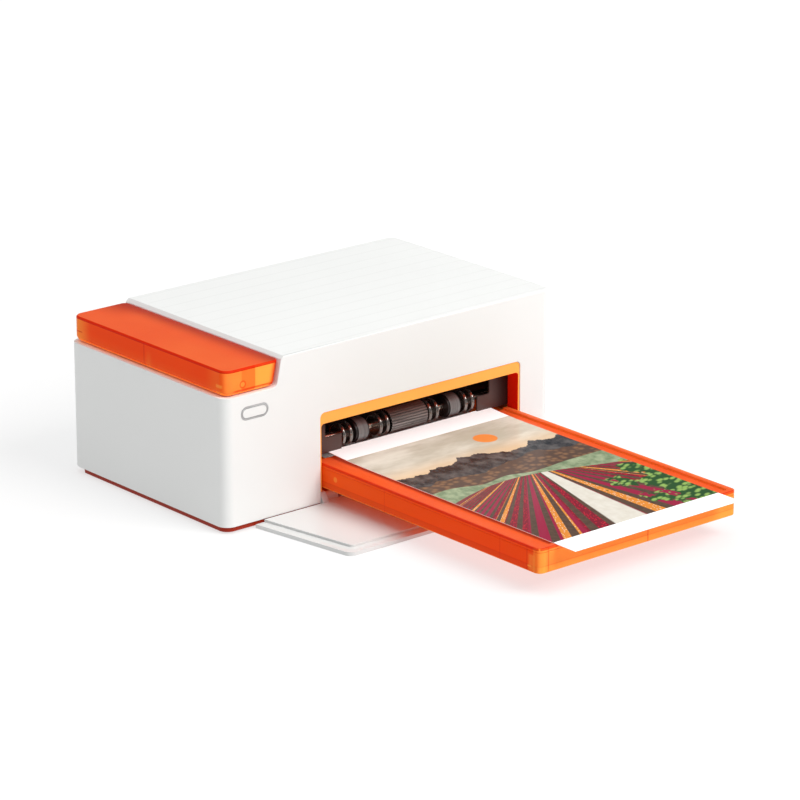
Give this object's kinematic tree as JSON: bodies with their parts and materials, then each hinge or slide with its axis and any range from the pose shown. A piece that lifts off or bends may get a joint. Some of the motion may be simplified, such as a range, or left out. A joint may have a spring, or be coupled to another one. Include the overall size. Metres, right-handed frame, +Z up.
{
  "type": "compact photo printer",
  "caption": "Low white box printer with a grooved top, a translucent orange corner lid, a front opening with rollers, a long paper cassette with a photo print on it and a fold-down flap.",
  "frame": {"origin": "on the table under the middle of the whole printer with its cassette and print", "axes": "+X to the right seen from the front, +Y backwards from the cassette to the rear panel, +Z up"},
  "size_m": [0.198, 0.2784, 0.0788],
  "materials": {
    "white_plastic": "fine satin moulded white",
    "clear_orange": "translucent orange, polished",
    "orange_plastic": "moulded orange",
    "dark_plastic": "moulded near black",
    "grey_plastic": "moulded grey",
    "gear_plastic": "natural acetal",
    "black_rubber": "matt rubber",
    "steel": "bright steel",
    "bush_brass": "sintered bronze",
    "head_aluminium": "extruded",
    "head_ceramic": "fired ceramic",
    "circuit_board": "green solder mask",
    "film": "thin dye film",
    "photo_paper": "glossy photo paper"
  },
  "bodies": {
    "housing": {"base_plate": "orange_plastic", "button_board": "circuit_board", "button_ring": "grey_plastic", "chassis_screws": "steel", "cover_hinge_pins": "steel", "fan_frame": "dark_plastic", "feed_motor": "steel", "feed_panel": "dark_plastic", "front_hinge_pins": "steel", "head_pivot": "steel", "head_springs": "steel", "idler_post": "steel", "left_side_plate": "steel", "lower_guide": "dark_plastic", "main_board": "circuit_board", "motor_bracket": "steel", "opening_frame": "clear_orange", "outer_shell": "white_plastic", "power_socket": "dark_plastic", "rear_guide": "dark_plastic", "rear_panel": "white_plastic", "ribbon_case": "dark_plastic", "ribbon_film": "film", "right_side_plate": "steel", "rubber_feet": "black_rubber", "shaft_bushes": "bush_brass", "shell_screws": "steel", "top_beam": "steel", "upper_guide": "dark_plastic", "usb_port": "steel"},
    "top_cover": {"ribbon_cover": "clear_orange"},
    "flap": {"front_cover": "white_plastic"},
    "cassette": {"cassette_base": "clear_orange", "cassette_lid": "clear_orange", "lift_spring": "steel"},
    "lift": {"lift_plate": "steel", "paper_stack": "photo_paper"},
    "print": {"photo_print": "photo_paper"},
    "feed": {"feed_shaft": "steel", "pickup_roller": "black_rubber", "feed_wheels": "dark_plastic", "guide_rings": "dark_plastic", "feed_gear": "gear_plastic"},
    "idler": {"idler_gear": "gear_plastic"},
    "grip": {"grip_roller": "steel", "grip_gear": "gear_plastic"},
    "pinch": {"pinch_roller": "steel"},
    "motor": {"motor_pinion": "gear_plastic"},
    "platen": {"platen_shaft": "steel", "platen_roller": "black_rubber"},
    "head": {"heat_sink": "head_aluminium", "head_element": "head_ceramic", "head_arms": "steel"},
    "supply": {"supply_spool": "grey_plastic"},
    "takeup": {"takeup_spool": "grey_plastic"},
    "fan": {"fan_rotor": "dark_plastic"},
    "button": {"power_button": "white_plastic"}
  },
  "joints": [
    {"name": "cover_lift", "type": "hinge", "parent": "housing", "child": "top_cover", "pos_m": [-0.082, 0.1365, 0.067], "axis": [-1, 0, 0], "range_deg": [0, 85]},
    {"name": "flap_fold", "type": "hinge", "parent": "housing", "child": "flap", "pos_m": [0.0182, 0.0248, 0.0044], "axis": [-1, 0, 0], "range_deg": [0, 6.5]},
    {"name": "cassette_slide", "type": "slide", "parent": "housing", "child": "cassette", "axis": [0, -1, 0], "range_m": [0, 0.05]},
    {"name": "lift_tilt", "type": "hinge", "parent": "cassette", "child": "lift", "pos_m": [0.0182, -0.1142, 0.0137], "axis": [1, 0, 0], "range_deg": [0, 1]},
    {"name": "print_slide", "type": "slide", "parent": "cassette", "child": "print", "axis": [0, -1, 0], "range_m": [0, 0.06]},
    {"name": "feed_spin", "type": "hinge", "parent": "housing", "child": "feed", "pos_m": [0.0182, 0.0358, 0.0279], "axis": [1, 0, 0], "continuous": true},
    {"name": "idler_spin", "type": "hinge", "parent": "housing", "child": "idler", "pos_m": [0.0182, 0.05223, 0.03662], "axis": [1, 0, 0], "continuous": true},
    {"name": "grip_spin", "type": "hinge", "parent": "housing", "child": "grip", "pos_m": [0.0182, 0.0672, 0.029], "axis": [1, 0, 0], "continuous": true},
    {"name": "pinch_spin", "type": "hinge", "parent": "housing", "child": "pinch", "pos_m": [0.0182, 0.0672, 0.0363], "axis": [1, 0, 0], "continuous": true},
    {"name": "motor_spin", "type": "hinge", "parent": "housing", "child": "motor", "pos_m": [0.0182, 0.06464, 0.04704], "axis": [1, 0, 0], "continuous": true},
    {"name": "platen_spin", "type": "hinge", "parent": "housing", "child": "platen", "pos_m": [0.0182, 0.0852, 0.025], "axis": [1, 0, 0], "continuous": true},
    {"name": "head_lift", "type": "hinge", "parent": "housing", "child": "head", "pos_m": [0.0182, 0.1072, 0.038], "axis": [-1, 0, 0], "range_deg": [0, 8], "deforming": ["head_springs"]},
    {"name": "supply_spin", "type": "hinge", "parent": "housing", "child": "supply", "pos_m": [0.0182, 0.1162, 0.051], "axis": [1, 0, 0], "continuous": true},
    {"name": "takeup_spin", "type": "hinge", "parent": "housing", "child": "takeup", "pos_m": [0.0182, 0.0572, 0.051], "axis": [1, 0, 0], "continuous": true},
    {"name": "fan_spin", "type": "hinge", "parent": "housing", "child": "fan", "pos_m": [-0.072, 0.1318, 0.0465], "axis": [0, 1, 0], "continuous": true},
    {"name": "button_press", "type": "slide", "parent": "housing", "child": "button", "axis": [0, 1, 0], "range_m": [0, 0.0012], "stiffness_N_per_m": 500, "springref_m": -0.001}
  ],
  "couplings": [
    {"joint": "idler_spin", "follows": "feed_spin", "ratio": -0.47619},
    {"joint": "grip_spin", "follows": "feed_spin", "ratio": 1.4286},
    {"joint": "pinch_spin", "follows": "feed_spin", "ratio": -1.9048},
    {"joint": "motor_spin", "follows": "feed_spin", "ratio": 1.6667}
  ]
}
